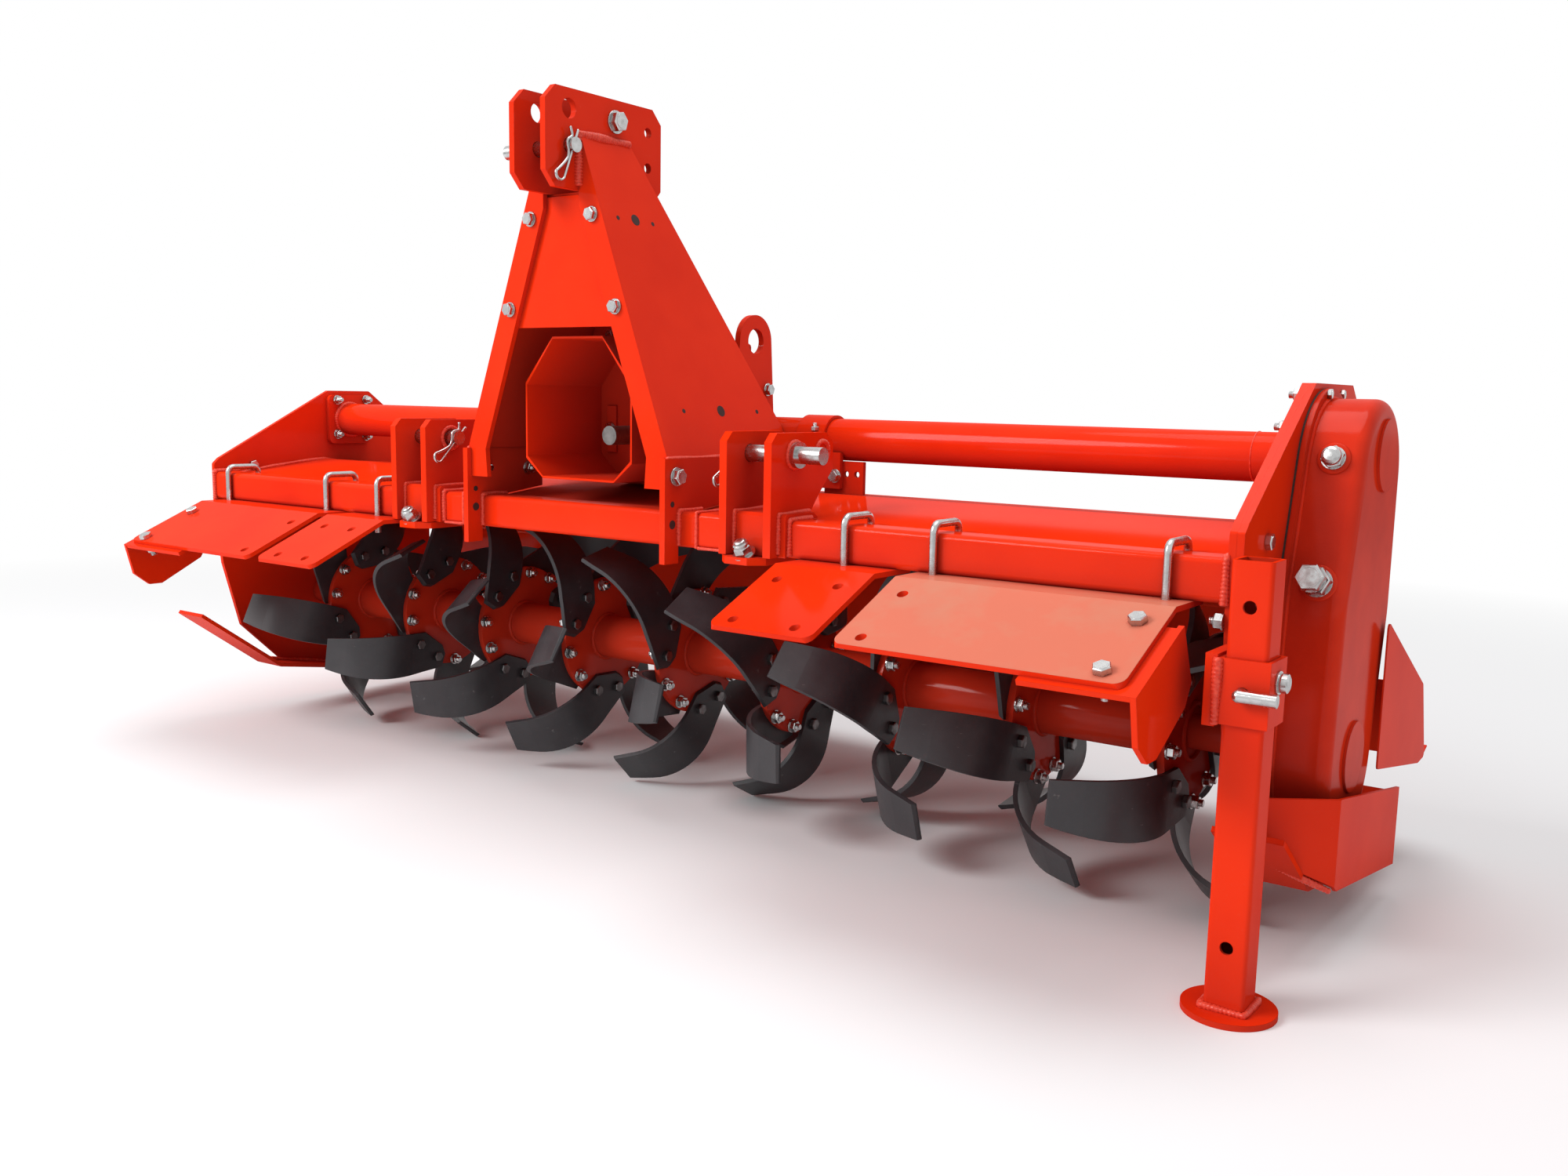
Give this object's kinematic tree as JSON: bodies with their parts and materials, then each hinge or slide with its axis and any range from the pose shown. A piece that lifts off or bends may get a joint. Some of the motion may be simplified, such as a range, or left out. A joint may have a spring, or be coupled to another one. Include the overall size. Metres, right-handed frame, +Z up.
{
  "type": "rotavator",
  "caption": "Heavy three-point rotary tiller with a side gear drive, a bladed rotor under a hood, a rear levelling board and a sliding parking stand.",
  "frame": {"origin": "centre of the bounding box's foot, on the ground, with the machine parked on its blades and its stand", "axes": "+X along the rotor towards the gear case end, +Y to the rear away from the tractor, +Z up"},
  "size_m": [2.4856, 1.0095, 1.269],
  "materials": {
    "bare_steel": "machined, oiled",
    "blade_black": "satin black",
    "gasket": "dark jointing compound",
    "red_casting": "gloss orange-red enamel over cast iron",
    "red_paint": "gloss orange-red enamel",
    "zinc_steel": "bright zinc plate"
  },
  "bodies": {
    "main_frame": {"bearing_left": "red_casting", "bearing_right": "red_casting", "deflector_left_inner": "red_paint", "deflector_left_outer": "red_paint", "deflector_right_inner": "red_paint", "deflector_right_outer": "red_paint", "drive_tube_right": "red_paint", "front_beam": "red_paint", "gear_case_back": "red_paint", "gear_case_cover": "red_casting", "gear_case_gasket": "gasket", "gearbox": "red_casting", "hinge_lugs": "red_paint", "hinge_rod": "red_paint", "hood": "red_paint", "hooks": "zinc_steel", "lifting_eye": "red_paint", "lower_hitch_left": "red_paint", "lower_hitch_right": "red_paint", "lower_pin_left": "zinc_steel", "lower_pin_right": "zinc_steel", "mast_cover": "red_paint", "mast_foot_left": "red_paint", "mast_foot_right": "red_paint", "mast_head_left": "red_paint", "mast_head_right": "red_paint", "mast_leg_left": "red_paint", "mast_leg_right": "red_paint", "mast_tie": "red_paint", "shaft_shield": "red_paint", "side_plate_left": "red_paint", "side_plate_right": "red_paint", "skid_guard": "red_paint", "skid_left": "red_paint", "skid_right": "red_paint", "stand_pin": "zinc_steel", "stand_sleeve": "red_paint", "support_tube_left": "red_paint", "top_pin": "zinc_steel", "tube_bracket": "red_paint", "tube_collar": "red_paint", "tube_flange": "red_paint", "wing_left": "red_paint", "wing_right": "red_paint"},
    "rotor": {"blades_left_hand": "blade_black", "blades_right_hand": "blade_black", "rotor_shaft": "red_paint"},
    "input_drive": {"input_shaft": "bare_steel"},
    "board": {"trailing_board": "red_paint", "trailing_board_cheek": "red_paint"},
    "stand": {"stand_leg": "red_paint"}
  },
  "joints": [
    {"name": "rotor_spin", "type": "hinge", "parent": "main_frame", "child": "rotor", "pos_m": [-0.05875, 0.00216, 0.27299], "axis": [1, 0, 0], "continuous": true},
    {"name": "input_spin", "type": "hinge", "parent": "main_frame", "child": "input_drive", "pos_m": [-0.05875, -0.09984, 0.68999], "axis": [0, -1, 0], "continuous": true},
    {"name": "board_lift", "type": "hinge", "parent": "main_frame", "child": "board", "pos_m": [-0.05875, 0.35416, 0.42499], "axis": [1, 0, 0], "range_deg": [-8, 60]},
    {"name": "stand_slide", "type": "slide", "parent": "main_frame", "child": "stand", "axis": [0, 0, 1], "range_m": [-0.1, 0.33]}
  ],
  "couplings": [
    {"joint": "input_spin", "follows": "rotor_spin", "ratio": 2.7}
  ]
}
